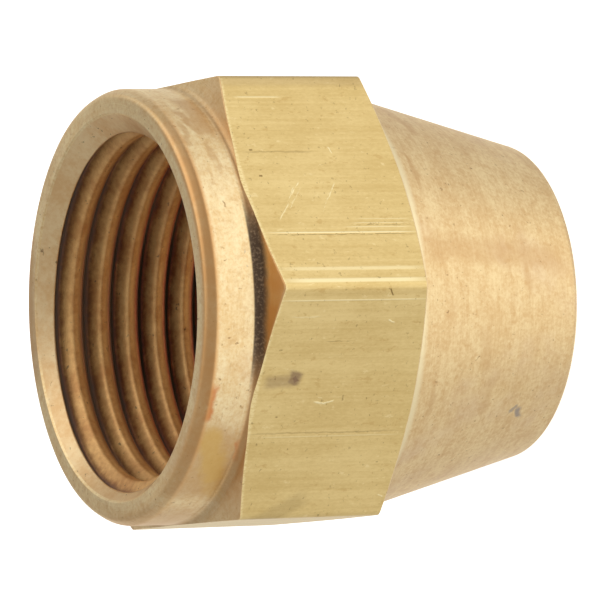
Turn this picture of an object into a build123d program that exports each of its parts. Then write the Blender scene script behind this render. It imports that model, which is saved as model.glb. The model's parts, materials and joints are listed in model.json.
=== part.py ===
from build123d import *

import math
import os

# A short flare nut, turned from hexagonal brass bar and threaded inside.
# It stands on the small end of its nose: the origin is the centre of that end, +Z runs along the
# axis out of the threaded mouth, and one corner of the hexagon points along +X.
# All sizes are in millimetres. "Depth" is measured down from the mouth face, along -Z.

# Hexagonal bar
ACROSS_FLATS = 22.225  # 7/8 in spanner
CORNER_RADIUS = 0.35  # drawn bar is never dead sharp

# Lengths along the axis
OVERALL_LENGTH = 22.45
SHOULDER_DEPTH = 2.9  # where the front chamfer of the hexagon would meet the collar, with no fillet
HEX_REAR_DEPTH = 11.8  # where the rear chamfer meets the middle of a flat

# Turned collar at the mouth
COLLAR_STEP = 0.043  # how far the collar stands inside the flats
MOUTH_BREAK_RADIAL = 0.3
MOUTH_BREAK_AXIAL = 0.5
SHOULDER_FILLET = 0.4

# Chamfers that trim the corners of the hexagon, from the plane of the mouth face
FRONT_CHAMFER_DEG = 16.5
REAR_CHAMFER_DEG = 17.0

# Conical nose
NOSE_STEP = 0.08  # how far the nose stands inside the flats where it starts
NOSE_END_WALL = 1.6  # around the tube bore, with the cone carried to the end plane
NOSE_END_RADIUS = 0.7

# Internal thread, 3/4-16 UNF, right-hand
THREAD_MAJOR = 19.05
THREAD_PITCH = 25.4 / 16
THREAD_VALLEY_DEPTH = 1.11  # depth of the first whole valley, on the side facing -X
THREAD_END_DEPTH = 10.6
COUNTERSINK_CLEARANCE = 0.345  # outside the thread's roots, per side
COUNTERSINK_DEG = 45.0

# Thread form
FLANK_DEG = 30.0  # each side of the valley, from the radius
ROOT_FLAT_SHARE = 1 / 8  # flat at the major diameter, as a share of the pitch
CREST_FLAT_SHARE = 0.35  # flat at the minor diameter, as a share of the pitch
CUT_OVERLAP = 0.3  # how far the thread cutter stands inside the bore, to cut clean through its wall

# Undercut, flare seat and tube bore beyond the thread
UNDERCUT_WIDTH = 2.4
UNDERCUT_CLEARANCE = 0.1  # outside the thread's roots, per side
SEAT_DEG = 45.0
TUBE_DIAMETER = 12.7  # 1/2 in tube
TUBE_CLEARANCE = 0.15  # per side
TUBE_ENTRY_CHAMFER = 0.25

# Radii that several features share
FLAT_RADIUS = ACROSS_FLATS / 2
ROOT_RADIUS = THREAD_MAJOR / 2
FLANK_SLOPE = math.tan(math.radians(FLANK_DEG))
THREAD_HEIGHT = THREAD_PITCH * (1 - ROOT_FLAT_SHARE - CREST_FLAT_SHARE) / (2 * FLANK_SLOPE)
CREST_RADIUS = ROOT_RADIUS - THREAD_HEIGHT
TUBE_BORE_RADIUS = TUBE_DIAMETER / 2 + TUBE_CLEARANCE


def at_depth(depth):
    """Height above the nose end of a point this far down from the mouth face."""
    return OVERALL_LENGTH - depth


def revolved(points, rounded=()):
    """Solid of revolution about Z from (radius, height) points, with some of its corners rounded."""
    face = make_face(Polyline(*points, close=True))
    for point, radius in rounded:
        face = fillet(face.vertices().sort_by_distance(point)[0], radius)
    return revolve(Plane.XZ * face, Axis.Z)


def hex_bar():
    """The bar that the nut is cut from, with a corner towards +X."""
    outline = RegularPolygon(FLAT_RADIUS, 6, major_radius=False)
    return extrude(fillet(outline.vertices(), CORNER_RADIUS), OVERALL_LENGTH)


def turned_outside():
    """Everything that the lathe leaves outside: collar, two chamfers and nose."""
    reach = ACROSS_FLATS  # safely outside the corners of the bar
    collar = FLAT_RADIUS - COLLAR_STEP
    nose_start = FLAT_RADIUS - NOSE_STEP
    front = math.tan(math.radians(FRONT_CHAMFER_DEG))
    rear = math.tan(math.radians(REAR_CHAMFER_DEG))
    inner_corner = (collar, at_depth(SHOULDER_DEPTH))
    end_corner = (TUBE_BORE_RADIUS + NOSE_END_WALL, 0)
    points = [
        (0, 0),
        end_corner,
        (nose_start, at_depth(HEX_REAR_DEPTH)),
        (reach, at_depth(HEX_REAR_DEPTH) + (reach - nose_start) * rear),
        (reach, at_depth(SHOULDER_DEPTH) - (reach - collar) * front),
        inner_corner,
        (collar, at_depth(MOUTH_BREAK_AXIAL)),
        (collar - MOUTH_BREAK_RADIAL, at_depth(0)),
        (0, at_depth(0)),
    ]
    return revolved(points, [(inner_corner, SHOULDER_FILLET), (end_corner, NOSE_END_RADIUS)])


def hollow():
    """Everything bored out: countersink, thread bore, undercut, flare seat and tube bore."""
    mouth = ROOT_RADIUS + COUNTERSINK_CLEARANCE
    undercut = ROOT_RADIUS + UNDERCUT_CLEARANCE
    countersink_depth = (mouth - CREST_RADIUS) / math.tan(math.radians(COUNTERSINK_DEG))
    seat_start_depth = THREAD_END_DEPTH + UNDERCUT_WIDTH
    seat_end_depth = seat_start_depth + (undercut - TUBE_BORE_RADIUS) / math.tan(math.radians(SEAT_DEG))
    points = [
        (0, 0),
        (TUBE_BORE_RADIUS + TUBE_ENTRY_CHAMFER, 0),
        (TUBE_BORE_RADIUS, TUBE_ENTRY_CHAMFER),
        (TUBE_BORE_RADIUS, at_depth(seat_end_depth)),
        (undercut, at_depth(seat_start_depth)),
        (undercut, at_depth(THREAD_END_DEPTH)),
        (CREST_RADIUS, at_depth(THREAD_END_DEPTH)),
        (CREST_RADIUS, at_depth(countersink_depth)),
        (mouth, at_depth(0)),
        (0, at_depth(0)),
    ]
    return revolved(points)


def thread_cutter(bottom, top):
    """The helical valley of the thread, from below one height to above another."""
    inside = CREST_RADIUS - CUT_OVERLAP
    half_root_flat = THREAD_PITCH * ROOT_FLAT_SHARE / 2
    half_width = half_root_flat + (ROOT_RADIUS - inside) * FLANK_SLOPE
    # The helix starts on the +X side, half a turn from the side where the valley's depth is set.
    valley_at_x = at_depth(THREAD_VALLEY_DEPTH) + THREAD_PITCH / 2
    turns_below = math.ceil((valley_at_x - bottom + half_width) / THREAD_PITCH)
    start = valley_at_x - turns_below * THREAD_PITCH
    profile = make_face(
        Polyline(
            (inside, start - half_width),
            (ROOT_RADIUS, start - half_root_flat),
            (ROOT_RADIUS, start + half_root_flat),
            (inside, start + half_width),
            close=True,
        )
    )
    helix = Helix(THREAD_PITCH, top + THREAD_PITCH - start, ROOT_RADIUS, center=(0, 0, start))
    return sweep(Plane.XZ * profile, path=helix, is_frenet=True)


def tapped_sleeve(bottom, top):
    """A sleeve wider than the nut, threaded inside from one height to the other and beyond.

    The thread ends inside the sleeve's own wall, so no end face crosses it while it is cut.
    """
    spare = 4 * THREAD_PITCH
    height = top - bottom + 2 * spare
    standing = (Align.CENTER, Align.CENTER, Align.MIN)
    wall = Cylinder(ACROSS_FLATS, height, align=standing)
    bore = Cylinder(CREST_RADIUS, height, align=standing)
    return Pos(0, 0, bottom - spare) * (wall - bore) - thread_cutter(bottom, top)


def flare_nut():
    bored = (turned_outside() & hex_bar()) - hollow()
    thread_end = at_depth(THREAD_END_DEPTH)
    width = 2 * ACROSS_FLATS
    above = Pos(0, 0, thread_end + OVERALL_LENGTH / 2) * Box(width, width, OVERALL_LENGTH)
    threaded = bored & above & tapped_sleeve(thread_end, OVERALL_LENGTH)
    return threaded + (bored - above)


os.makedirs("parts", exist_ok=True)
export_step(flare_nut().solid(), "parts/flare_nut.step")
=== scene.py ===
import json
import math

import bmesh
import bpy
from bpy.props import FloatProperty, FloatVectorProperty, IntProperty, PointerProperty
from mathutils import Matrix, Vector


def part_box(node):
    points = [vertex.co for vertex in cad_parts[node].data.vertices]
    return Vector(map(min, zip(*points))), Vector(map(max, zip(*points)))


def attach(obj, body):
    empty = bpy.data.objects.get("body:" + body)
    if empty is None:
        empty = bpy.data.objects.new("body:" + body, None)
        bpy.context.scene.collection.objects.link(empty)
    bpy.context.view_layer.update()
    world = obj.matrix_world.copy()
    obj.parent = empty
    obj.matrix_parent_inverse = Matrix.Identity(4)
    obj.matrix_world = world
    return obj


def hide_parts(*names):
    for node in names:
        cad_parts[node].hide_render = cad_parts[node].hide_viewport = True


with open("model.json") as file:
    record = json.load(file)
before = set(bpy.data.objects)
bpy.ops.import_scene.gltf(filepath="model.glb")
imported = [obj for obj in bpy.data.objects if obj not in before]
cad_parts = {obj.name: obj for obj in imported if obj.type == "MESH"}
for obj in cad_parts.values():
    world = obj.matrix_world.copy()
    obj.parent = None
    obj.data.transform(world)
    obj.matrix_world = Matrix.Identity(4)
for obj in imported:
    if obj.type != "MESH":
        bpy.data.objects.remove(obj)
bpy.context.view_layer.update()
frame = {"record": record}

bl_info = {
    "name": "Flare nut",
    "version": (1, 0, 0),
    "blender": (4, 5, 0),
    "location": "View3D > Sidebar > Flare nut",
    "description": "Short hexagonal brass flare nut: drawn flats, turned collar and nose, cut thread",
    "category": "Add Mesh",
}

MM = 0.001
NUT_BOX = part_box("flare_nut")
MOUNTS = {mount["name"]: mount for mount in frame["record"]["mounts"]}
THREAD_CREST_RADIUS = MOUNTS["thread"]["dims"]["r_mm"] * MM
TUBE_BORE_RADIUS = MOUNTS["tube_bore"]["dims"]["r_mm"] * MM


# ---- Small tools ----
def linear(code):
    """Linear colour with full alpha from an sRGB hex value."""
    parts = [int(code[place : place + 2], 16) / 255 for place in (1, 3, 5)]
    return [c / 12.92 if c <= 0.04045 else ((c + 0.055) / 1.055) ** 2.4 for c in parts] + [1.0]


def length(name, description, millimetres):
    """A size property with its default given in millimetres."""
    return FloatProperty(
        name=name, description=description, default=millimetres * MM, unit="LENGTH", precision=5
    )


def angle(name, description, degrees):
    """An angle property with its default given in degrees."""
    return FloatProperty(
        name=name, description=description, default=math.radians(degrees), subtype="ANGLE"
    )


def colour(name, description, code):
    """A colour property with its default given as sRGB hex."""
    return FloatVectorProperty(
        name=name, description=description, default=linear(code), size=4, subtype="COLOR"
    )


MATH = "ShaderNodeMath"
VECTORS = "ShaderNodeVectorMath"
RANGE = "ShaderNodeMapRange"
MIX = "ShaderNodeMix"
NOISE = "ShaderNodeTexNoise"
SMOOTH = {"interpolation_type": "SMOOTHSTEP"}
COLOURS = {"data_type": "RGBA", "out": 2}  # a Mix node for colours has them at inputs 6 and 7
UNDER = 6
OVER = 7


def feed(tree, socket, value):
    """Links an input to an output, or sets it to a plain value."""
    if isinstance(value, bpy.types.NodeSocket):
        tree.links.new(value, socket)
    else:
        socket.default_value = value


def add_node(tree, kind, *values, out=0, named=None, **settings):
    """Adds a node with its settings, fills its inputs in order or by name, and returns an output."""
    node = tree.nodes.new(kind)
    for setting, value in settings.items():
        setattr(node, setting, value)
    wanted = {place: value for place, value in enumerate(values) if value is not None}
    for name, value in (wanted | (named or {})).items():
        feed(tree, node.inputs[name], value)
    return node.outputs[out] if node.outputs else node


# ---- Sizes and colours ----
ACROSS_FLATS = (NUT_BOX[1].y - NUT_BOX[0].y) / MM
OVERALL_LENGTH = (NUT_BOX[1].z - NUT_BOX[0].z) / MM


class FlareNutSizes(bpy.types.PropertyGroup):
    """Sizes of the nut, as turned from hexagonal bar."""

    across_flats: length("Across flats", "Spanner size of the hexagon", ACROSS_FLATS)
    overall_length: length("Overall length", "Nose end to mouth face", OVERALL_LENGTH)
    corner_radius: length("Corner radius", "Rounding along the corners of the drawn bar", 0.35)
    shoulder_depth: length("Shoulder depth", "Mouth face to the foot of the collar", 2.9)
    rear_depth: length("Hexagon depth", "Mouth face to the rear of the hexagon", 11.8)
    collar_step: length("Collar step", "How far the collar stands inside the flats", 0.043)
    break_width: length("Mouth break width", "Edge break at the mouth, across the axis", 0.3)
    break_depth: length("Mouth break depth", "Edge break at the mouth, along the axis", 0.5)
    shoulder_fillet: length("Shoulder fillet", "Fillet at the foot of the collar", 0.4)
    front_chamfer: angle("Front chamfer", "Slope of the hexagon's front chamfer", 16.5)
    rear_chamfer: angle("Rear chamfer", "Slope of the hexagon's rear chamfer", 17.0)
    nose_step: length("Nose step", "How far the nose stands inside the flats where it starts", 0.08)
    nose_end_wall: length("Nose end wall", "Wall round the tube bore at the end of the nose", 1.6)
    nose_end_radius: length("Nose end radius", "Rounding at the end of the nose", 0.7)
    thread_major: length("Thread major diameter", "Root to root of the internal thread", 19.05)
    thread_pitch: length("Thread pitch", "From one valley to the next", 25.4 / 16)
    first_valley: length("First valley", "Depth of the first whole valley on the side facing -X", 1.11)
    thread_end: length("Thread end", "Depth at which the undercut starts", 10.6)
    countersink_gap: length("Countersink clearance", "Mouth radius outside the thread's roots", 0.345)
    undercut_width: length("Undercut width", "Along the axis", 2.4)
    undercut_gap: length("Undercut clearance", "Outside the thread's roots", 0.1)
    entry_chamfer: length("Tube entry chamfer", "At the end of the tube bore", 0.25)
    edge_softness: length("Edge softness", "Rounding that handling leaves on turned edges", 0.06)
    mouth_softness: length("Mouth softness", "Rounding on both sides of the mouth's edge break", 0.5)
    crest_softness: length("Crest softness", "Rounding along the edges of the thread's crests", 0.3)
    rows_per_pitch: IntProperty(
        name="Rows per pitch", description="Rows of vertices in one turn of thread", default=32, min=8
    )


class FlareNutFinish(bpy.types.PropertyGroup):
    """Colours of the brass, of what has settled on it, and of painted highlights and painted shade."""

    drawn_dull: colour("Drawn brass, dull", "Flats of the hexagon, duller patches", "#DCBE7C")
    drawn_bright: colour("Drawn brass, bright", "Flats of the hexagon, brighter patches", "#F0D595")
    # This colour also paints highlights along the near corner and on a die line's ridge.
    scratch_and_highlight: colour("Scratched brass", "Scratches and die lines on the flats", "#FFEDB8")
    turned_dull: colour("Turned brass, dull", "Collar and faces, duller patches", "#EDCA90")
    turned_bright: colour("Turned brass, bright", "Collar and faces, brighter patches", "#FFEABA")
    nose_dull: colour("Nose, dull", "Duller patches of the nose", "#E3BF88")
    nose_bright: colour("Nose, bright", "Brighter patches of the nose", "#F9DFAA")
    cut_dull: colour("Countersink, dull", "Duller patches of the countersink", "#E4BC86")
    cut_bright: colour("Countersink, bright", "Brighter patches of the countersink", "#F2D6A6")
    thread_dull: colour("Thread, dull", "Duller patches of the thread", "#D2985A")
    thread_bright: colour("Thread, bright", "Brighter patches of the thread", "#F4C47E")
    thread_brown: colour("Thread film", "Brown film on the thread, near the mouth", "#9A643C")
    thread_red: colour("Thread film, deep", "Red-brown film on the thread, deep inside", "#A8552E")
    tarnish: colour("Tarnish", "Brown film on the shoulder and on the mouth's edge", "#E2AA6C")
    smears: colour("Smears", "Brown smears on the turned surfaces", "#CDA06A")
    # This colour is grime and painted shade: it darkens the fillet where shade falls.
    grime_and_shade: colour("Grime", "Oil and dust in the fillet", "#4A382A")
    dust: colour("Dust", "Paler dust in that grime", "#8A7258")
    # The two oil colours also paint shade in the thread's roots, the second one deep inside.
    oil: colour("Cutting oil", "Oil in the thread's roots, near the mouth", "#766A62")
    deep_oil_and_shade: colour("Cutting oil, deep", "Blackest oil in the thread's roots", "#3A3634")
    floor: colour("Floor", "The pale floor that the nut stands on", "#F4F4F2")


# ---- Shape ----
SIXTH = math.tau / 6
ARC_STEPS = 3
NOSE_END_STEPS = 8
FLAT_STEPS = 13
SHOULDER_STEPS = 14
FLAT_GATHER = 1.5  # above 1, the columns of half a flat gather towards its corner
SHOULDER_GATHER = 1.3  # above 1, the rows of the shoulder gather in its fillet
SUPPORT = 0.1 * MM  # a ring of vertices this far from a softened edge keeps the faces beside it flat
TANGENT_SHARE = 0.3  # the most of a neighbouring face that a softened edge may take
SUPPORT_SHARE = 0.45  # the most that it may take with its support
LIP = 0.1 * MM  # the top of the countersink belongs to the turned outside, so its edge can be softened
SAME_HEIGHT = 1e-7  # metres
WALL_MERGE = 0.002 * MM  # rows that are gathered on the wall's ends become one
NUT_MERGE = 0.0005 * MM  # the wall and the columns share their points
FLANK_SLOPE = math.tan(math.radians(30))  # 60 degree thread form
ROOT_FLAT_SHARE = 1 / 8
CUT, TURNED, DRAWN = range(3)  # places of the three finishes in the nut's mesh


def corner_centre(sizes):
    """Distance from the axis to the centre of a hexagon corner's rounding."""
    return (sizes.across_flats / 2 - sizes.corner_radius) / math.cos(SIXTH / 2)


def corner_half_angle(sizes):
    """Angle about the axis from the middle of a corner's rounding to its end."""
    rounding = sizes.corner_radius
    across = corner_centre(sizes) + rounding * math.cos(SIXTH / 2)
    return math.atan2(rounding * math.sin(SIXTH / 2), across)


def column_angles(sizes):
    """Angles of the columns of vertices round the axis, closest together at the hexagon's corners."""
    arc = corner_half_angle(sizes)
    half = [arc * step / ARC_STEPS for step in range(ARC_STEPS + 1)]
    for step in range(1, FLAT_STEPS + 1):
        half.append(arc + (SIXTH / 2 - arc) * (step / FLAT_STEPS) ** FLAT_GATHER)
    sector = half + [SIXTH - offset for offset in half[-2:0:-1]]
    return [corner * SIXTH + offset for corner in range(6) for offset in sector]


def hexagon_radius(sizes, around):
    """Distance from the axis to the bar's surface in the direction at this angle."""
    offset = abs((around + SIXTH / 2) % SIXTH - SIXTH / 2)
    if offset >= corner_half_angle(sizes):
        return sizes.across_flats / 2 / math.cos(SIXTH / 2 - offset)
    centre = corner_centre(sizes)
    aside = centre * math.sin(offset)
    return centre * math.cos(offset) + math.sqrt(sizes.corner_radius**2 - aside**2)


def shoulder(sizes, reach):
    """Points down the shoulder's fillet and out along the front chamfer, as far as this radius."""
    fillet = sizes.shoulder_fillet
    slope = sizes.front_chamfer
    collar = sizes.across_flats / 2 - sizes.collar_step
    foot = sizes.overall_length - sizes.shoulder_depth
    rise = foot - fillet * math.tan(slope) + fillet / math.cos(slope)
    centre = Vector((collar + fillet, rise))
    full_turn = math.pi / 2 - slope
    leaves = centre.x - fillet * math.sin(slope)
    turn = full_turn if reach >= leaves else math.acos((centre.x - reach) / fillet)
    straight = max(0.0, reach - leaves) / math.cos(slope)
    path = fillet * turn + straight
    points = []
    for step in range(SHOULDER_STEPS + 1):
        along = path * (step / SHOULDER_STEPS) ** SHOULDER_GATHER
        bend = min(along / fillet, turn)
        rest = along - bend * fillet
        point = centre - fillet * Vector((math.cos(bend), math.sin(bend)))
        points.append(point + rest * Vector((math.cos(slope), -math.sin(slope))))
    return points


def softened(before, corner, after, radius, steps):
    """Points round a corner with this radius, and one support point on either side of it."""
    to_before = before - corner
    to_after = after - corner
    half_turn = (math.pi - to_before.angle(to_after)) / 2
    most = TANGENT_SHARE * min(to_before.length, to_after.length)
    tangent = min(radius * math.tan(half_turn), most)
    radius = tangent / math.tan(half_turn)
    inward = (to_before.normalized() + to_after.normalized()).normalized()
    centre = corner + inward * math.hypot(radius, tangent)
    start = corner + to_before.normalized() * tangent - centre
    end = corner + to_after.normalized() * tangent - centre
    arc = []
    for step in range(steps + 1):
        share = step / steps
        weights = math.sin((1 - share) * 2 * half_turn), math.sin(share * 2 * half_turn)
        arc.append(centre + (start * weights[0] + end * weights[1]) / math.sin(2 * half_turn))
    supports = [
        corner + way.normalized() * min(tangent + SUPPORT, SUPPORT_SHARE * way.length)
        for way in (to_before, to_after)
    ]
    return [supports[0]] + arc + [supports[1]]


def profile(sizes, around, thread_foot):
    """One column of (radius, height) points from the countersink's lip round to the thread's foot,
    and the rows between which it is the flat of the hexagon."""
    top = sizes.overall_length
    bar = hexagon_radius(sizes, around)
    flat = sizes.across_flats / 2
    collar = flat - sizes.collar_step
    nose = flat - sizes.nose_step
    mouth = sizes.thread_major / 2 + sizes.countersink_gap
    undercut = sizes.thread_major / 2 + sizes.undercut_gap
    ceiling = top - sizes.thread_end
    seat_top = ceiling - sizes.undercut_width
    seat_foot = seat_top - (undercut - TUBE_BORE_RADIUS)
    nose_top = top - sizes.rear_depth
    soft = sizes.edge_softness
    *slope_down, front_edge = shoulder(sizes, bar)
    rear_edge = Vector((bar, nose_top + (bar - nose) * math.tan(sizes.rear_chamfer)))
    nose_end = Vector((TUBE_BORE_RADIUS + sizes.nose_end_wall, 0))

    corners = [
        (Vector((mouth - LIP, top - LIP)), None),
        (Vector((mouth, top)), soft / 2),
        (Vector((collar - sizes.break_width, top)), sizes.mouth_softness),
        (Vector((collar, top - sizes.break_depth)), sizes.mouth_softness),
    ]
    corners += [(point, None) for point in slope_down]
    corners += [
        (front_edge, soft),
        (rear_edge, soft),
        (Vector((nose, nose_top)), soft / 2),
        (nose_end, sizes.nose_end_radius),
        (Vector((TUBE_BORE_RADIUS + sizes.entry_chamfer, 0)), soft / 2),
        (Vector((TUBE_BORE_RADIUS, sizes.entry_chamfer)), soft),
        (Vector((TUBE_BORE_RADIUS, seat_foot)), soft),
        (Vector((undercut, seat_top)), soft),
        (Vector((undercut, ceiling)), soft / 2),
        (Vector((thread_foot, ceiling)), None),
    ]
    points = []
    for place, (point, radius) in enumerate(corners):
        if radius is None:
            points.append(point)
            continue
        steps = NOSE_END_STEPS if point is nose_end else ARC_STEPS
        points += softened(corners[place - 1][0], point, corners[place + 1][0], radius, steps)
        if point is front_edge:
            flat_start = len(points) - 2
        elif point is rear_edge:
            flat_end = len(points) - ARC_STEPS - 2
    return points, range(flat_start, flat_end)


def thread_tree(material, inputs):
    """Geometry Nodes that wind the internal thread on a line of points, whose X is the angle."""
    tree = bpy.data.node_groups.new("thread_wall", "GeometryNodeTree")
    tree.interface.new_socket("Columns", in_out="INPUT", socket_type="NodeSocketGeometry")
    for name in inputs:
        tree.interface.new_socket(name, in_out="INPUT", socket_type="NodeSocketFloat")
    tree.interface.new_socket("Wall", in_out="OUTPUT", socket_type="NodeSocketGeometry")
    given = tree.nodes.new("NodeGroupInput").outputs

    count = add_node(tree, "GeometryNodeAttributeDomainSize", given["Columns"])
    pitch = given["Pitch"]
    start = given["Start"]
    top = given["Top"]
    turns = add_node(tree, MATH, top, start, operation="SUBTRACT")
    turns = add_node(tree, MATH, turns, pitch, operation="DIVIDE")
    per_turn = given["Rows per Pitch"]
    rows = add_node(tree, MATH, turns, per_turn, 2.0, operation="MULTIPLY_ADD")
    grid = add_node(tree, "GeometryNodeMeshGrid", 1.0, 1.0, count, rows)
    place = add_node(tree, "GeometryNodeInputPosition")
    across = tree.nodes.new("ShaderNodeSeparateXYZ")
    tree.links.new(place, across.inputs[0])
    counted = []
    for axis, number in (("X", count), ("Y", rows)):
        last = add_node(tree, MATH, number, operation="FLOOR")
        last = add_node(tree, MATH, last, 1.0, operation="SUBTRACT")
        step = add_node(tree, MATH, across.outputs[axis], 0.5, operation="ADD")
        step = add_node(tree, MATH, step, last, operation="MULTIPLY")
        counted.append(add_node(tree, MATH, step, operation="ROUND"))
    column, row = counted

    kind = {"data_type": "FLOAT_VECTOR", "domain": "POINT"}
    sampled = add_node(tree, "GeometryNodeSampleIndex", given["Columns"], place, column, **kind)
    around = add_node(tree, "ShaderNodeSeparateXYZ", sampled)
    turn = add_node(tree, MATH, around, math.tau, operation="DIVIDE")

    # Each row climbs one pitch in a turn, and what passes the ends is gathered on them.
    climb = add_node(tree, MATH, row, per_turn, operation="DIVIDE")
    climb = add_node(tree, MATH, climb, turn, operation="ADD")
    climb = add_node(tree, MATH, climb, pitch, operation="MULTIPLY")
    height = add_node(tree, MATH, climb, start, operation="ADD")
    height = add_node(tree, MATH, height, given["Bottom"], operation="MAXIMUM")
    height = add_node(tree, MATH, height, top, operation="MINIMUM")

    # Distance from the middle of the nearest valley, along the axis
    phase = add_node(tree, MATH, height, start, operation="SUBTRACT")
    phase = add_node(tree, MATH, phase, pitch, operation="DIVIDE")
    phase = add_node(tree, MATH, phase, turn, operation="SUBTRACT")
    phase = add_node(tree, MATH, phase, 0.5, operation="PINGPONG")
    away = add_node(tree, MATH, phase, pitch, operation="MULTIPLY")

    root = given["Root Radius"]
    crest = given["Crest Radius"]
    soft = given["Softness"]
    soft_crest = given["Crest Softness"]
    half_flat = ROOT_FLAT_SHARE / 2
    half_flat = add_node(tree, MATH, pitch, half_flat, operation="MULTIPLY")
    beyond = add_node(tree, MATH, half_flat, away, operation="SUBTRACT")
    flank = add_node(tree, MATH, beyond, 1 / FLANK_SLOPE, root, operation="MULTIPLY_ADD")
    radius = add_node(tree, MATH, flank, root, soft, operation="SMOOTH_MIN")
    radius = add_node(tree, MATH, radius, crest, soft_crest, operation="SMOOTH_MAX")
    below_top = add_node(tree, MATH, top, height, operation="SUBTRACT")
    sink = add_node(tree, MATH, given["Top Radius"], below_top, operation="SUBTRACT")
    radius = add_node(tree, MATH, radius, sink, soft, operation="SMOOTH_MAX")

    cosine = add_node(tree, MATH, around, operation="COSINE")
    sine = add_node(tree, MATH, around, operation="SINE")
    x = add_node(tree, MATH, radius, cosine, operation="MULTIPLY")
    y = add_node(tree, MATH, radius, sine, operation="MULTIPLY")
    wound = add_node(tree, "ShaderNodeCombineXYZ", x, y, height)
    wall = add_node(tree, "GeometryNodeSetPosition", grid, None, wound)
    wall = add_node(tree, "GeometryNodeMergeByDistance", wall, named={"Distance": WALL_MERGE})
    wall = add_node(tree, "GeometryNodeSetShadeSmooth", wall)
    wall = add_node(tree, "GeometryNodeRealizeInstances", wall)
    wall = add_node(tree, "GeometryNodeSetMaterial", wall, named={"Material": material})
    add_node(tree, "NodeGroupOutput", wall)
    return tree


def thread_wall(sizes, angles, material):
    """The threaded wall as a plain mesh, from its foot in the undercut to the lip of the mouth."""
    line = bpy.data.meshes.new("thread_columns")
    line.from_pydata([(around, 0, 0) for around in [*angles, math.tau]], [], [])
    winder = bpy.data.objects.new("thread_winder", line)
    bpy.context.scene.collection.objects.link(winder)
    bottom = sizes.overall_length - sizes.thread_end
    # The valley climbs half a pitch from +X round to -X, where its depth is given.
    valley = sizes.overall_length - sizes.first_valley - sizes.thread_pitch / 2
    turns_down = math.ceil((valley - bottom) / sizes.thread_pitch) + 1
    mouth = sizes.thread_major / 2 + sizes.countersink_gap
    values = {
        "Pitch": sizes.thread_pitch,
        "Rows per Pitch": sizes.rows_per_pitch,
        "Start": valley - turns_down * sizes.thread_pitch,
        "Bottom": bottom,
        "Top": sizes.overall_length - LIP,
        "Top Radius": mouth - LIP,
        "Root Radius": sizes.thread_major / 2,
        "Crest Radius": THREAD_CREST_RADIUS,
        "Softness": sizes.edge_softness,
        "Crest Softness": sizes.crest_softness,
    }
    tree = thread_tree(material, values)
    modifier = winder.modifiers.new("thread", "NODES")
    modifier.node_group = tree
    for socket in tree.interface.items_tree:
        if socket.name in values:
            modifier[socket.identifier] = float(values[socket.name])
    seen = winder.evaluated_get(bpy.context.evaluated_depsgraph_get())
    wall = bpy.data.meshes.new_from_object(seen)
    winder.modifiers.remove(modifier)
    bpy.data.objects.remove(winder)
    if len(wall.polygons) < len(angles) * sizes.rows_per_pitch:
        raise RuntimeError("the thread was not wound")
    return wall


def nut_mesh(sizes, materials):
    """The whole nut as one closed mesh: threaded wall, turned surfaces and drawn flats."""
    angles = column_angles(sizes)
    wall = thread_wall(sizes, angles, materials[CUT])
    mesh = bmesh.new()
    mesh.from_mesh(wall)
    for face in mesh.faces:
        face.material_index = CUT
    bottom = sizes.overall_length - sizes.thread_end
    feet = [vert.co for vert in mesh.verts if abs(vert.co.z - bottom) < SAME_HEIGHT]
    nudge = angles[1] / 2  # so that the foot towards +X comes first
    feet = sorted(feet, key=lambda co: (math.atan2(co.y, co.x) + nudge) % math.tau)
    if len(feet) != len(angles):
        raise RuntimeError(f"the thread's foot has {len(feet)} points, not {len(angles)}")
    columns = []
    for around, foot in zip(angles, feet):
        points, flat_rows = profile(sizes, around, foot.xy.length)
        ray = Vector((math.cos(around), math.sin(around)))
        columns.append([mesh.verts.new((p.x * ray.x, p.x * ray.y, p.y)) for p in points])
    for here, there in zip(columns, columns[1:] + columns[:1]):
        for row in range(len(here) - 1):
            face = mesh.faces.new((here[row], here[row + 1], there[row + 1], there[row]))
            face.material_index = DRAWN if row in flat_rows else TURNED
            face.smooth = True
    bmesh.ops.remove_doubles(mesh, verts=mesh.verts, dist=NUT_MERGE)
    bmesh.ops.recalc_face_normals(mesh, faces=mesh.faces)
    open_edges = [edge for edge in mesh.edges if len(edge.link_faces) != 2]
    if open_edges:
        raise RuntimeError(f"the nut is not closed: {len(open_edges)} open edges")
    made = bpy.data.meshes.new("brass_nut")
    mesh.to_mesh(made)
    mesh.free()
    for material in materials:
        made.materials.append(material)
    return made


# ---- Materials ----
def new_material(name):
    """An empty node material with its output, and the shader that feeds it."""
    material = bpy.data.materials.new(name)
    material.use_nodes = True
    tree = material.node_tree
    tree.nodes.clear()
    shader = tree.nodes.new("ShaderNodeBsdfPrincipled")
    add_node(tree, "ShaderNodeOutputMaterial", shader.outputs[0])
    return material, tree, shader


# Marks on the flats: direction of the flat in degrees, height, place across the flat, slant from the
# axis in degrees, length, width and strength. Sizes are in millimetres.
SCRATCHES = (
    (30, 16.8, -0.5, -53, 1.2, 0.09, 0.9),
    (30, 17.1, -0.8, -57, 1.1, 0.07, 0.7),
    (30, 17, -1.15, -54, 1.9, 0.07, 0.5),
    (30, 17.8, -1.9, -52, 1.5, 0.09, 0.7),
    (30, 14.9, -0.75, -56, 1.5, 0.08, 0.8),
    (30, 15.5, -1.65, -57, 0.8, 0.06, 0.5),
    (30, 14.2, 1.8, -108, 0.5, 0.1, 1),
    (-30, 12.8, 4.45, -158, 0.5, 0.12, 1),
    (-30, 15.9, 0, -170, 0.8, 0.13, 1),
    (-30, 15.4, 0.05, 165, 0.7, 0.12, 1),
    (-30, 15.9, 0.28, -170, 0.35, 0.07, 0.6),
    (-30, 17.6, 4.75, 180, 1.9, 0.12, 0.4),
    (-30, 11.4, -5.3, -160, 0.4, 0.12, 0.9),
)
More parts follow.
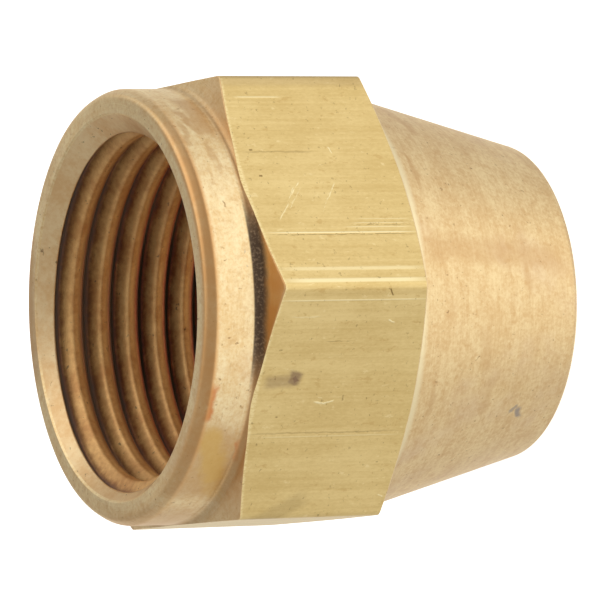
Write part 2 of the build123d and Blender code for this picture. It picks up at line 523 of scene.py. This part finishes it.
DIE_LINES_AND_HIGHLIGHTS = (
    # Painted highlight: the lit top of this die line's ridge
    (30, 15, -3.19, 180, 9.5, 0.12, 1),
    (30, 12.9, -2.87, 180, 4.2, 0.08, 0.7),
    (30, 12.7, -2.63, 180, 3.6, 0.07, 0.6),
    (30, 12.5, -2.39, 180, 3.4, 0.07, 0.5),
    (30, 17.3, 5.08, 180, 3, 0.11, 0.7),
    # Painted highlights: these two wide bands beside the near corner stand for light on its rounding
    (30, 15, -5.35, 180, 9.5, 0.3, 0.6),
    (30, 15, -6.05, 180, 9.5, 0.35, 0.9),
    (-30, 15, 5.65, 180, 9.5, 0.1, 0.8),
    (-30, 15, -1.85, 180, 9.5, 0.1, 0.35),
)
DARK_MARKS_AND_SHADE = (
    (-30, 13.1, 6.05, -124, 0.5, 0.13, 0.9),
    (-30, 14.65, 0.25, -92, 0.4, 0.16, 0.5),
    (-30, 15.4, -1.65, 180, 10, 0.12, 0.3),
    (-30, 15.5, 3.4, 180, 1.6, 0.09, 0.4),
    (-30, 17.2, -6.2, 150, 4.5, 1.3, 0.25),
    (-30, 18.1, -0.75, 0, 0.18, 0.12, 0.6),
    (-30, 12, -3.4, 0, 0.15, 0.1, 0.6),
    (30, 17.1, 1.72, 180, 4.5, 0.16, 0.3),
    # Painted shade under the die line's ridge at -3.19 on the same flat
    (30, 15, -3.31, 180, 9.5, 0.08, 0.6),
    (30, 12.7, -2.75, 180, 3.8, 0.06, 0.5),
    (30, 18.6, 1.85, 0, 0.25, 0.16, 0.7),
    (30, 18.5, 0.25, 0, 0.22, 0.18, 0.8),
)
SMUDGES = (
    (-30, 17.55, 1.4, 105, 0.95, 1.05, 0.65),
    (-30, 17.5, 1.35, 60, 0.5, 0.55, 0.8),
    (-30, 18.2, 1.25, 175, 2.3, 1, 0.35),
    (30, 15, 6.15, 180, 12, 1.1, 0.2),
)
# The same for the turned surfaces, whose marks are all placed by the side that they face
YELLOW_STAINS = (
    (-47, 20.9, 0, 68, 5, 1.8, 0.55),
    (-56, 20.4, 0, 60, 4, 1.4, 0.3),
)
RED_STAINS = (
    (-29, 21.9, 0, 90, 2.4, 0.8, 0.9),
    (-44, 19.7, 0, 90, 1.4, 0.5, 0.6),
    (158, 22.2, 0, 90, 3, 1.6, 0.3),
)
GREY_MARKS = (
    (-43, 3, 0, 60, 1.1, 0.55, 0.9),
    (-41, 3.5, 0, 150, 0.8, 0.3, 0.7),
    (8, 20.2, 0, 90, 1, 0.1, 0.4),
)
BROWN_SMEARS = (
    (11, 5.6, 0, 0, 12.5, 1.8, 0.4),
    (14, 6.5, 0, 6, 6, 0.7, 0.25),
    (52, 21, 0, 75, 3.2, 0.7, 0.6),
    (47, 21.6, 0, 100, 2.6, 0.5, 0.5),
    (38, 20.7, 0, 80, 2.4, 0.5, 0.5),
    (30, 21.3, 0, 95, 1.8, 0.35, 0.4),
    (56, 20.4, 0, 90, 5, 1.6, 0.6),
    (178, 22.4, 0, 90, 9, 3.8, 0.8),
    (-50, 21, 0, 90, 6.5, 4.8, 0.6),
    (-88, 21, 0, 90, 9, 4.8, 0.5),
    (60, 8.5, 0, 70, 3.6, 1, 0.4),
    (8, 3.4, 0, 88, 3.5, 0.6, 0.3),
    (-18, 6.2, 0, 80, 3, 1.2, 0.25),
    (-33, 5.6, 0, 100, 2.6, 1, 0.3),
    (35, 9.6, 0, 85, 3.4, 0.5, 0.45),
    (-30, 9.3, 0, 95, 2.5, 0.6, 0.4),
)


MARK_INPUTS = (
    ("Place", "NodeSocketVector"),
    ("Middle", "NodeSocketVector"),
    ("Along", "NodeSocketVector"),
    ("Half Length", "NodeSocketFloat"),
    ("Half Width", "NodeSocketFloat"),
    ("Strength", "NodeSocketFloat"),
)
MARK_NAMES = [name for name, kind in MARK_INPUTS]


def mark_group():
    """Node group that masks one straight mark: 1 on it and 0 away from it."""
    tree = bpy.data.node_groups.new("mark", "ShaderNodeTree")
    for name, kind in MARK_INPUTS:
        tree.interface.new_socket(name, in_out="INPUT", socket_type=kind)
    tree.interface.new_socket("Mask", in_out="OUTPUT", socket_type="NodeSocketFloat")
    given = tree.nodes.new("NodeGroupInput").outputs
    away = add_node(tree, VECTORS, given["Place"], given["Middle"], operation="SUBTRACT")
    along = add_node(tree, VECTORS, away, given["Along"], operation="DOT_PRODUCT", out=1)
    foot = add_node(tree, VECTORS, given["Along"], named={"Scale": along}, operation="SCALE")
    side = add_node(tree, VECTORS, away, foot, operation="SUBTRACT")
    side = add_node(tree, VECTORS, side, operation="LENGTH", out=1)
    side = add_node(tree, MATH, side, given["Half Width"], operation="DIVIDE")
    side = add_node(tree, RANGE, side, 1.0, 0.3, **SMOOTH)
    end = add_node(tree, MATH, along, operation="ABSOLUTE")
    end = add_node(tree, MATH, end, given["Half Length"], operation="DIVIDE")
    end = add_node(tree, RANGE, end, 1.0, 0.55, **SMOOTH)
    mask = add_node(tree, MATH, side, end, operation="MULTIPLY")
    mask = add_node(tree, MATH, mask, given["Strength"], operation="MULTIPLY")
    add_node(tree, "NodeGroupOutput", mask)
    return tree


def marks_mask(tree, group, place, marks, reach):
    """The strongest of these marks at each place, where reach gives the surface's radius by height."""
    total = 0.0
    for facing, height, across, slant, long, wide, strength in marks:
        facing = math.radians(facing)
        slant = math.radians(slant)
        outward = Vector((math.cos(facing), math.sin(facing), 0))
        sideways = Vector((-outward.y, outward.x, 0))
        middle = outward * reach(height) + sideways * across + Vector((0, 0, height))
        slope = reach(height + 0.5) - reach(height - 0.5)
        down_the_wall = (Vector((0, 0, 1)) + outward * slope).normalized()
        along = down_the_wall * math.cos(slant) + sideways * math.sin(slant)
        given = (place, middle, along, long / 2, wide / 2, strength)
        mask = add_node(tree, "ShaderNodeGroup", node_tree=group, named=dict(zip(MARK_NAMES, given)))
        total = add_node(tree, MATH, mask, total, operation="MAXIMUM")
    return total


# Noise patterns: waves per millimetre along x, y and z, detail and roughness
DRAWN_PATTERNS = (
    (6, 6, 0.12, 3.0, 0.6),  # die lines 0.15 mm apart, coarser than the real ones so that they show
    (1.1, 1.1, 0.04, 1.0, 0.5),  # broad bands left by the die
    (0.45, 0.45, 0.3, 3.0, 0.6),  # patches of handling, 2 to 3 mm across
    (3.8, 3.8, 4.6, 2.0, 0.6),  # dark specks, 0.1 to 0.2 mm across
    (9.0, 9.0, 4.0, 2.0, 0.7),  # grain of the skin, coarser than the real 0.02 mm so that it shows
)
FLECKS = (2.6, 2.6, 1.4, 3.0, 0.7)  # rubbed and dirtied flecks, 0.3 mm across
# Rings of the turning tool 0.2 mm apart, coarser than the real feed so that they show; bands where
# its cut changed, 1 mm wide; and streaks of film that follow the rings
RING_PATTERNS = ((0.35, 0.35, 5.0, 3.0, 0.65), (0.3, 0.3, 0.9, 2.0, 0.5), (0.9, 0.9, 6.0, 3.0, 0.7))
TURNED_PATTERNS = (
    (0.5, 0.5, 0.5, 4.0, 0.65),  # patches of handling, 2 mm across
    (3.6, 3.6, 3.0, 2.0, 0.6),  # dark pits, 0.1 to 0.2 mm across
    (5.0, 5.0, 5.0, 3.0, 0.7),  # grain of the metal, coarser than the real 0.02 mm so that it shows
    (0.22, 0.22, 0.22, 3.0, 0.6),  # broad film, 4 mm across
    (1.9, 1.9, 1.9, 4.0, 0.75),  # mottling, 0.5 mm across
    (7.0, 7.0, 7.0, 2.0, 0.6),  # dust in the grime
)
CUT_PATTERNS = (
    (3.0, 3.0, 3.0, 3.0, 0.7),  # torn grain, coarser than the real 0.05 mm so that it shows
    (0.5, 0.5, 0.5, 3.0, 0.6),  # patches of film, 2 mm across
    (2.6, 2.6, 4.0, 2.0, 0.6),  # pits that the tap left, 0.2 mm across
)


def patterns(tree, place, table):
    """The noise patterns of a table of waves per millimetre, detail and roughness."""
    made = []
    for *waves, detail, rough in table:
        stretched = add_node(tree, VECTORS, place, waves, operation="MULTIPLY")
        settings = {"Vector": stretched, "Scale": 1.0, "Detail": detail, "Roughness": rough}
        made.append(add_node(tree, NOISE, named=settings))
    return made


def weighed(tree, *parts):
    """The sum of some values, each times its weight."""
    total = 0.0
    for value, weight in parts:
        total = add_node(tree, MATH, value, weight, total, operation="MULTIPLY_ADD")
    return total


def filmed(tree, base, *films):
    """A colour under thin films, each laid where its pattern goes from low to high, up to a share."""
    for pattern, low, high, share, film in films:
        cover = add_node(tree, RANGE, pattern, low, high, 0.0, share, **SMOOTH)
        base = add_node(tree, MIX, cover, named={UNDER: base, OVER: linear(film)}, **COLOURS)
    return base


def wandering(tree, place, waves, detail, distance):
    """Places moved a little this way and that, so that marks laid on them have ragged edges."""
    settings = {"Vector": place, "Scale": waves, "Detail": detail}
    ragged = add_node(tree, NOISE, named=settings, out=1)
    ragged = add_node(tree, VECTORS, ragged, (0.5, 0.5, 0.5), operation="SUBTRACT")
    shift = add_node(tree, VECTORS, ragged, named={"Scale": distance}, operation="SCALE")
    return add_node(tree, VECTORS, place, shift, operation="ADD")


def place_in_mm(tree):
    """Object coordinates in millimetres, and the radius and height there."""
    place = add_node(tree, "ShaderNodeTexCoord", out=3)
    place = add_node(tree, VECTORS, place, named={"Scale": 1 / MM}, operation="SCALE")
    flat = add_node(tree, VECTORS, place, (1, 1, 0), operation="MULTIPLY")
    radius = add_node(tree, VECTORS, flat, operation="LENGTH", out=1)
    height = add_node(tree, VECTORS, place, (0, 0, 1), operation="DOT_PRODUCT", out=1)
    return place, radius, height


def finish_metal(tree, shader, relief, depth, looks):
    """Fills the shader's inputs by name, and gives the surface a fine relief of this depth."""
    settings = {"Strength": 1.0, "Distance": depth, "Height": relief}
    looks["Normal"] = add_node(tree, "ShaderNodeBump", named=settings)
    for name, value in looks.items():
        feed(tree, shader.inputs[name], value)


def drawn_brass(sizes, finish):
    """Cold-drawn brass bar: a dull olive-gold skin with fine die lines along the bar, a few bright
    scratches and dents from handling, small dark specks, and painted highlights and shade on its edges
    and a ridge."""
    material, tree, shader = new_material("drawn_brass")
    place, radius, height = place_in_mm(tree)
    lines, bands, patches, pits, grain = patterns(tree, place, DRAWN_PATTERNS)
    loose = wandering(tree, place, 2.5, 2.0, 0.16)
    flecks = patterns(tree, loose, (FLECKS,))[0]
    group = mark_group()
    flat = sizes.across_flats / 2 / MM
    scratches, dark, smudges = (
        marks_mask(tree, group, loose, marks, lambda height: flat)
        for marks in (SCRATCHES, DARK_MARKS_AND_SHADE, SMUDGES)
    )
    die_lines_and_highlights = marks_mask(tree, group, place, DIE_LINES_AND_HIGHLIGHTS, lambda height: flat)

    tone = weighed(tree, (lines, 0.4), (bands, 0.3), (patches, 0.5), (grain, 0.4))
    tone = add_node(tree, RANGE, tone, 0.55, 1.05, **SMOOTH)
    skin = {UNDER: finish.drawn_dull, OVER: finish.drawn_bright}
    base = add_node(tree, MIX, tone, named=skin, **COLOURS)
    # Bright scratches and die lines, with the painted highlights among them
    bright = add_node(tree, MATH, scratches, die_lines_and_highlights, operation="MAXIMUM")
    base = add_node(tree, MIX, bright, named={UNDER: base, OVER: finish.scratch_and_highlight}, **COLOURS)

    # A bright line along the front arc of each flat: wear from handling and a painted highlight on the
    # edge.
    collar = (sizes.across_flats / 2 - sizes.collar_step) / MM
    foot = (sizes.overall_length - sizes.shoulder_depth) / MM
    gap = add_node(tree, MATH, collar, radius, operation="SUBTRACT")
    slope = math.tan(sizes.front_chamfer)
    gap = add_node(tree, MATH, gap, slope, foot, operation="MULTIPLY_ADD")
    gap = add_node(tree, MATH, gap, height, operation="SUBTRACT")
    worn = add_node(tree, RANGE, gap, 0.22, 0.04, **SMOOTH)
    broken = add_node(tree, RANGE, grain, 0.35, 0.6, 0.2, 0.9, **SMOOTH)
    worn = add_node(tree, MATH, worn, broken, operation="MULTIPLY")
    base = add_node(tree, MIX, worn, named={UNDER: base, OVER: linear("#FFE8AC")}, **COLOURS)

    base = filmed(tree, base, (flecks, 0.62, 0.74, 0.45, "#FFE9B0"), (flecks, 0.4, 0.3, 0.4, "#C9A25E"))
    # Dark specks and dark marks, one of them painted shade under a die line's ridge
    specks = add_node(tree, RANGE, pits, 0.64, 0.78, **SMOOTH)
    dark = add_node(tree, MATH, specks, 0.5, dark, operation="MULTIPLY_ADD")
    for mask, coat in ((dark, "#8A6C3C"), (smudges, "#7A5A50")):
        base = add_node(tree, MIX, mask, named={UNDER: base, OVER: linear(coat)}, **COLOURS)

    rough = add_node(tree, MATH, bright, -0.12, 0.42, operation="MULTIPLY_ADD")
    relief = weighed(tree, (bright, 1.0), (lines, 1.0), (dark, -1.0))
    looks = {"Base Color": base, "Metallic": 1.0, "Roughness": rough}
    finish_metal(tree, shader, relief, 0.006 * MM, looks)
    return material


def turned_brass(sizes, finish):
    """Brass turned on a lathe: a warm pale gold with fine rings round the axis, mottled where handled,
    browned where the tool left a corner, and black with oil, dust and painted shade in the fillet."""
    material, tree, shader = new_material("turned_brass")
    place, radius, height = place_in_mm(tree)
    top = sizes.overall_length / MM
    foot = (sizes.overall_length - sizes.shoulder_depth) / MM
    nose_top = (sizes.overall_length - sizes.rear_depth) / MM
    collar = (sizes.across_flats / 2 - sizes.collar_step) / MM
    nose = (sizes.across_flats / 2 - sizes.nose_step) / MM
    nose_end = (TUBE_BORE_RADIUS + sizes.nose_end_wall) / MM
    mouth_edge = collar - sizes.break_width / MM

    # Rings follow the axis on a wall and the radius on a face, so they are laid on a sum of the two.
    ring = add_node(tree, MATH, radius, 3.0, height, operation="MULTIPLY_ADD")
    flat = add_node(tree, VECTORS, place, (1, 1, 0), operation="MULTIPLY")
    rise = add_node(tree, "ShaderNodeCombineXYZ", 0.0, 0.0, ring)
    wound = add_node(tree, VECTORS, flat, rise, operation="ADD")
    lines, bands, streaks = patterns(tree, wound, RING_PATTERNS)
    patches, pits, grain, film, mottle, dust = patterns(tree, place, TURNED_PATTERNS)

    # Where each zone along the axis starts and is in full
    on_nose, nose_start_highlight, on_shoulder, above_hexagon, near_top, below_collar = (
        add_node(tree, RANGE, height, start, full, **SMOOTH)
        for start, full in (
            (nose_top + 0.02, nose_top),
            (nose_top - 0.55, nose_top - 0.15),
            (foot + 0.35, foot + 0.1),
            (foot - 1.6, foot - 1.5),
            (top - 0.75, top - 0.45),
            (foot + 0.42, foot + 0.3),
        )
    )

    tone = weighed(tree, (lines, 0.28), (bands, 0.3), (patches, 0.4), (grain, 0.6))
    tone = add_node(tree, RANGE, tone, 0.58, 1.02, **SMOOTH)
    duller, brighter = (
        add_node(tree, MIX, on_nose, named={UNDER: elsewhere, OVER: there}, **COLOURS)
        for elsewhere, there in (
            (finish.turned_dull, finish.nose_dull),
            (finish.turned_bright, finish.nose_bright),
        )
    )
    base = add_node(tree, MIX, tone, named={UNDER: duller, OVER: brighter}, **COLOURS)
    base = filmed(
        tree,
        base,
        (film, 0.5, 0.75, 0.4, "#E6C8A4"),
        (mottle, 0.46, 0.72, 0.45, "#D4A76C"),
        (streaks, 0.6, 0.8, 0.5, "#B98E5C"),
        (pits, 0.66, 0.78, 0.7, "#94683C"),
    )

    def reach(at):
        return collar if at > nose_top else nose_end + (nose - nose_end) * at / nose_top

    group = mark_group()
    loose = wandering(tree, place, 1.2, 3.0, 0.9)
    for marks, stain in (
        (BROWN_SMEARS, finish.smears),
        (YELLOW_STAINS, linear("#E6BA5E")),
        (RED_STAINS, linear("#D98A50")),
        (GREY_MARKS, linear("#A79A8E")),
    ):
        mask = marks_mask(tree, group, loose, marks, reach)
        base = add_node(tree, MIX, mask, named={UNDER: base, OVER: stain}, **COLOURS)

    # A painted highlight: a brighter band where the nose starts.
    nose_start_highlight = add_node(tree, MATH, nose_start_highlight, on_nose, operation="MULTIPLY")
    nose_start_highlight = add_node(tree, MATH, nose_start_highlight, 0.8, operation="MULTIPLY")

    # Tarnish on the shoulder and on the edge break at the mouth, thickest on the side towards +X
    on_shoulder = add_node(tree, MATH, on_shoulder, above_hexagon, operation="MULTIPLY")
    on_break = add_node(tree, RANGE, radius, mouth_edge - 0.5, mouth_edge, **SMOOTH)
    on_break = add_node(tree, MATH, on_break, near_top, operation="MULTIPLY")
    browned = add_node(tree, MATH, on_break, 0.95, on_shoulder, operation="MULTIPLY_ADD")
    patchy = add_node(tree, RANGE, patches, 0.25, 0.6, 0.55, 1.0, **SMOOTH)
    browned = add_node(tree, MATH, browned, patchy, operation="MULTIPLY")
    outward = add_node(tree, VECTORS, place, (1, 0, 0), operation="DOT_PRODUCT", out=1)
    facing = add_node(tree, MATH, outward, radius, operation="DIVIDE")
    handled = add_node(tree, RANGE, facing, 0.3, 0.95, 0.2, 1.0, **SMOOTH)
    browned = add_node(tree, MATH, browned, handled, operation="MULTIPLY")

    # Grime and painted shade in the fillet, thickest at the corner that faces +X
    thickest = add_node(tree, RANGE, facing, 0.88, 0.98, 0.15, 0.95, **SMOOTH)
    fray = add_node(tree, MATH, patches, 0.6, radius, operation="MULTIPLY_ADD")
    grime_and_shade = add_node(tree, RANGE, fray, collar + 1.0, collar + 0.45, **SMOOTH)
    for limit in (below_collar, above_hexagon, thickest):
        grime_and_shade = add_node(tree, MATH, grime_and_shade, limit, operation="MULTIPLY")
    dusty = add_node(tree, RANGE, dust, 0.45, 0.75, **SMOOTH)
    soot_and_shade = {UNDER: finish.grime_and_shade, OVER: finish.dust}
    soot_and_shade = add_node(tree, MIX, dusty, named=soot_and_shade, **COLOURS)
    # The band where the nose starts is a painted highlight.
    highlight_colour = linear("#FFEEC0")
    for mask, coat in ((nose_start_highlight, highlight_colour), (browned, finish.tarnish), (grime_and_shade, soot_and_shade)):
        base = add_node(tree, MIX, mask, named={UNDER: base, OVER: coat}, **COLOURS)

    rough = add_node(tree, MATH, patches, 0.12, 0.32, operation="MULTIPLY_ADD")
    rough = add_node(tree, MATH, grime_and_shade, 0.3, rough, operation="MULTIPLY_ADD")
    specks = add_node(tree, RANGE, pits, 0.66, 0.78, 0.0, 0.7, **SMOOTH)
    relief = weighed(tree, (lines, 0.45), (grain, 0.5), (specks, -0.6))
    # The grime, which also stands for shade, is not metal, so it scatters light.
    bare = add_node(tree, MATH, grime_and_shade, -0.6, 1.0, operation="MULTIPLY_ADD")
    looks = {"Base Color": base, "Metallic": bare, "Roughness": rough, "Anisotropic": 0.7}
    looks["Tangent"] = add_node(tree, "ShaderNodeTangent", direction_type="RADIAL", axis="Z")
    finish_metal(tree, shader, relief, 0.006 * MM, looks)
    return material


def cut_brass(sizes, finish):
    """Brass cut by a tap: clean tan gold on the crests and the faces towards the mouth, red-brown
    where it darkens, and near-black in the roots with packed cutting oil and painted shade."""
    material, tree, shader = new_material("thread_cut_brass")
    place, radius, height = place_in_mm(tree)
    grain, patches, pits = patterns(tree, place, CUT_PATTERNS)
    tone = weighed(tree, (patches, 0.7), (grain, 0.5))
    tone = add_node(tree, RANGE, tone, 0.4, 0.8, **SMOOTH)
    clean, worn = (
        add_node(tree, MIX, tone, named={UNDER: dull, OVER: bright}, **COLOURS)
        for dull, bright in (
            (finish.cut_dull, finish.cut_bright),
            (finish.thread_dull, finish.thread_bright),
        )
    )

    # The countersink is a clean cone, where radius and depth from the mouth add up to its own radius.
    mouth = (sizes.thread_major / 2 + sizes.countersink_gap) / MM
    depth = add_node(tree, MATH, sizes.overall_length / MM, height, operation="SUBTRACT")
    beyond = add_node(tree, MATH, radius, depth, operation="ADD")
    in_thread = add_node(tree, RANGE, beyond, mouth + 0.02, mouth + 0.1, **SMOOTH)
    base = add_node(tree, MIX, in_thread, named={UNDER: clean, OVER: worn}, **COLOURS)
    base = filmed(tree, base, (pits, 0.66, 0.76, 0.6, "#5A3E28"))

    # How far down the thread from the middle of the last valley, as a share of the pitch
    x, y = (
        add_node(tree, VECTORS, place, way, operation="DOT_PRODUCT", out=1)
        for way in ((1, 0, 0), (0, 1, 0))
    )
    turn = add_node(tree, MATH, y, x, operation="ARCTAN2")
    turn = add_node(tree, MATH, turn, math.tau, operation="DIVIDE")
    pitch = sizes.thread_pitch / MM
    valley = (sizes.overall_length - sizes.first_valley) / MM - pitch / 2
    climb = add_node(tree, MATH, valley, height, operation="SUBTRACT")
    climb = add_node(tree, MATH, climb, pitch, operation="DIVIDE")
    share = add_node(tree, MATH, climb, turn, operation="ADD")
    share = add_node(tree, MATH, share, operation="FRACT")
    wander = add_node(tree, MATH, patches, 0.16, -0.08, operation="MULTIPLY_ADD")
    wander = add_node(tree, MATH, grain, 0.1, wander, operation="MULTIPLY_ADD")
    edge = add_node(tree, MATH, share, wander, operation="ADD")

    # Both flanks turn red-brown, and the roots between them fill with grime and painted shade, blackest
    # deep inside on the side towards -X.
    red_below, red_above, grime_and_shade_below, grime_and_shade_above = (
        add_node(tree, RANGE, edge, start, full, **SMOOTH)
        for start, full in ((0.54, 0.72), (0.25, 0.08), (0.68, 0.88), (0.18, 0.0))
    )
    red = add_node(tree, MATH, red_below, red_above, operation="MAXIMUM")
    red = add_node(tree, MATH, red, in_thread, operation="MULTIPLY")
    grime_and_shade = add_node(tree, MATH, grime_and_shade_below, grime_and_shade_above, operation="MAXIMUM")
    grime_and_shade = add_node(tree, MATH, grime_and_shade, in_thread, operation="MULTIPLY")
    deep = add_node(tree, RANGE, depth, 2.5, 6.0, **SMOOTH)
    film = {UNDER: finish.thread_brown, OVER: finish.thread_red}
    film = add_node(tree, MIX, deep, named=film, **COLOURS)
    # Painted shade: the roots turn blackest deep inside the bore on the side towards -X.
    inward = add_node(tree, MATH, x, radius, operation="DIVIDE")
    inward = add_node(tree, RANGE, inward, -0.8, -0.98, **SMOOTH)
    black = add_node(tree, MATH, inward, deep, operation="MULTIPLY")
    soot_and_shade = {UNDER: finish.oil, OVER: finish.deep_oil_and_shade}
    soot_and_shade = add_node(tree, MIX, black, named=soot_and_shade, **COLOURS)
    for mask, coat in ((red, film), (grime_and_shade, soot_and_shade)):
        base = add_node(tree, MIX, mask, named={UNDER: base, OVER: coat}, **COLOURS)

    rough = add_node(tree, MATH, grime_and_shade, 0.2, 0.46, operation="MULTIPLY_ADD")
    relief = add_node(tree, MATH, pits, -0.5, grain, operation="MULTIPLY_ADD")
    # The film left by the cutting oil is matt and the grime, which also stands for shade, is not
    # metal, so they scatter light.
    bare = add_node(tree, MATH, in_thread, -0.5, 1.0, operation="MULTIPLY_ADD")
    bare = add_node(tree, MATH, grime_and_shade, -0.35, bare, operation="MULTIPLY_ADD")
    looks = {"Base Color": base, "Metallic": bare, "Roughness": rough}
    finish_metal(tree, shader, relief, 0.012 * MM, looks)
    return material


KEY_LIGHT = Vector((-0.05, 0.62, 0.78)).normalized()  # towards the large soft light
KEY_LIGHT_EDGE = math.cos(math.radians(38))
KEY_LIGHT_CORE = math.cos(math.radians(18))
LOW_LIGHT = 0.72  # strength of the light round the horizon and below it
HIGH_LIGHT = 0.47  # strength of the light above


def soft_room():
    """A room of soft white light: brightest low in front, darker overhead and to the sides."""
    world = bpy.data.worlds.new("soft_room")
    world.use_nodes = True
    tree = world.node_tree
    tree.nodes.clear()
    look = add_node(tree, "ShaderNodeTexCoord", out=0)
    parts = tree.nodes.new("ShaderNodeSeparateXYZ")
    tree.links.new(look, parts.inputs[0])
    x, y, z = parts.outputs
    heading = add_node(tree, MATH, y, x, operation="ARCTAN2")
    heading = add_node(tree, MATH, heading, operation="DEGREES")
    away = add_node(tree, MATH, heading, operation="ABSOLUTE")
    # Headings in degrees, where each soft wall of light starts and is in full
    right, left, side, back = (
        add_node(tree, RANGE, at, start, full, **SMOOTH)
        for at, start, full in (
            (heading, -52.0, -42.0),
            (heading, 95.0, 50.0),
            (heading, -15.0, 25.0),
            (away, 150.0, 172.0),
        )
    )
    front = add_node(tree, MATH, right, left, operation="MULTIPLY")
    side = add_node(tree, MATH, side, left, operation="MULTIPLY")
    low = LOW_LIGHT
    for wall, more in ((front, 0.38), (side, 0.14), (back, 0.5)):
        low = add_node(tree, MATH, wall, more, low, operation="MULTIPLY_ADD")
    above = add_node(tree, RANGE, z, -0.05, 0.15, **SMOOTH)
    fall = add_node(tree, MATH, HIGH_LIGHT, low, operation="SUBTRACT")
    strength = add_node(tree, MATH, above, fall, low, operation="MULTIPLY_ADD")
    towards = add_node(tree, VECTORS, look, KEY_LIGHT, operation="DOT_PRODUCT", out=1)
    key = add_node(tree, RANGE, towards, KEY_LIGHT_EDGE, KEY_LIGHT_CORE, **SMOOTH)
    strength = add_node(tree, MATH, key, 0.9, strength, operation="MULTIPLY_ADD")
    light = add_node(tree, "ShaderNodeBackground", (1, 1, 1, 1), strength)
    add_node(tree, "ShaderNodeOutputWorld", light)
    return world


# ---- Operators ----
FLOOR_REACH = 3.0
FLOOR_LOOKS = {
    "Roughness": 0.9,
    "Specular IOR Level": 0.1,
    "Emission Color": (1, 1, 1, 1),
    "Emission Strength": 0.9,
}
CAMERA_LENS = 344.7
CAMERA_AIM = Vector((0.277, 0.223, 12.027)) * MM
CAMERA_DISTANCE = 295 * MM
CAMERA_AZIMUTH = math.radians(86.01)
CAMERA_ELEVATION = math.radians(26.43)
# The camera is rolled, so that the standing nut is seen lying on its side.
CAMERA_RIGHT = Vector((0.44283, -0.0463, -0.89541))
CAMERA_UP = Vector((0.07641, 0.99698, -0.01377))


class FLARE_OT_nut(bpy.types.Operator):
    """Builds the nut as one closed mesh over the CAD part, with its three brass finishes"""

    bl_idname = "flare_nut.nut"
    bl_label = "Flare nut"

    def execute(self, context):
        sizes = context.scene.flare_nut_sizes
        finish = context.scene.flare_nut_finish
        materials = [make(sizes, finish) for make in (cut_brass, turned_brass, drawn_brass)]
        nut = bpy.data.objects.new("brass_nut", nut_mesh(sizes, materials))
        context.scene.collection.objects.link(nut)
        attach(nut, "root")
        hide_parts("flare_nut")
        return {"FINISHED"}


class FLARE_OT_stage(bpy.types.Operator):
    """Lays the pale floor and sets the soft lights and the camera"""

    bl_idname = "flare_nut.stage"
    bl_label = "Stage"

    def execute(self, context):
        scene = context.scene
        scene.view_settings.view_transform = "Standard"
        mesh = bpy.data.meshes.new("floor")
        signs = ((-1, -1), (1, -1), (1, 1), (-1, 1))
        mesh.from_pydata([(x * FLOOR_REACH, y * FLOOR_REACH, 0) for x, y in signs], [], [range(4)])
        floor = bpy.data.objects.new("floor", mesh)
        scene.collection.objects.link(floor)
        material, tree, shader = new_material("pale_floor")
        feed(tree, shader.inputs["Base Color"], scene.flare_nut_finish.floor)
        for name, value in FLOOR_LOOKS.items():
            feed(tree, shader.inputs[name], value)
        mesh.materials.append(material)
        floor.visible_glossy = False

        scene.world = soft_room()

        camera = bpy.data.cameras.new("camera")
        camera.lens = CAMERA_LENS
        camera.clip_start = 0.01
        camera.clip_end = 20
        holder = bpy.data.objects.new("camera", camera)
        scene.collection.objects.link(holder)
        level = math.cos(CAMERA_ELEVATION)
        east = math.sin(CAMERA_AZIMUTH) * level
        south = math.cos(CAMERA_AZIMUTH) * level
        back = Vector((east, -south, math.sin(CAMERA_ELEVATION)))
        turn = Matrix((CAMERA_RIGHT, CAMERA_UP, back)).transposed()
        place = Matrix.Translation(CAMERA_AIM + back * CAMERA_DISTANCE)
        holder.matrix_world = place @ turn.to_4x4()
        scene.camera = holder
        return {"FINISHED"}


class FLARE_PT_panel(bpy.types.Panel):
    """Lists what the script makes, with its sizes and colours"""

    bl_label = "Flare nut"
    bl_idname = "FLARE_PT_panel"
    bl_space_type = "VIEW_3D"
    bl_region_type = "UI"
    bl_category = "Flare nut"

    def draw(self, context):
        for operator in OPERATORS:
            self.layout.operator(operator.bl_idname)
        for group in (context.scene.flare_nut_sizes, context.scene.flare_nut_finish):
            box = self.layout.box()
            for name in group.__annotations__:
                box.prop(group, name)


OPERATORS = (FLARE_OT_nut, FLARE_OT_stage)
CLASSES = (FlareNutSizes, FlareNutFinish, *OPERATORS, FLARE_PT_panel)


def register():
    for made in CLASSES:
        bpy.utils.register_class(made)
    bpy.types.Scene.flare_nut_sizes = PointerProperty(type=FlareNutSizes)
    bpy.types.Scene.flare_nut_finish = PointerProperty(type=FlareNutFinish)


def unregister():
    del bpy.types.Scene.flare_nut_finish
    del bpy.types.Scene.flare_nut_sizes
    for made in reversed(CLASSES):
        bpy.utils.unregister_class(made)


def main():
    """Registers the add-on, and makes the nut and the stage."""
    register()
    bpy.ops.flare_nut.nut()
    bpy.ops.flare_nut.stage()


if __name__ == "__main__":
    main()
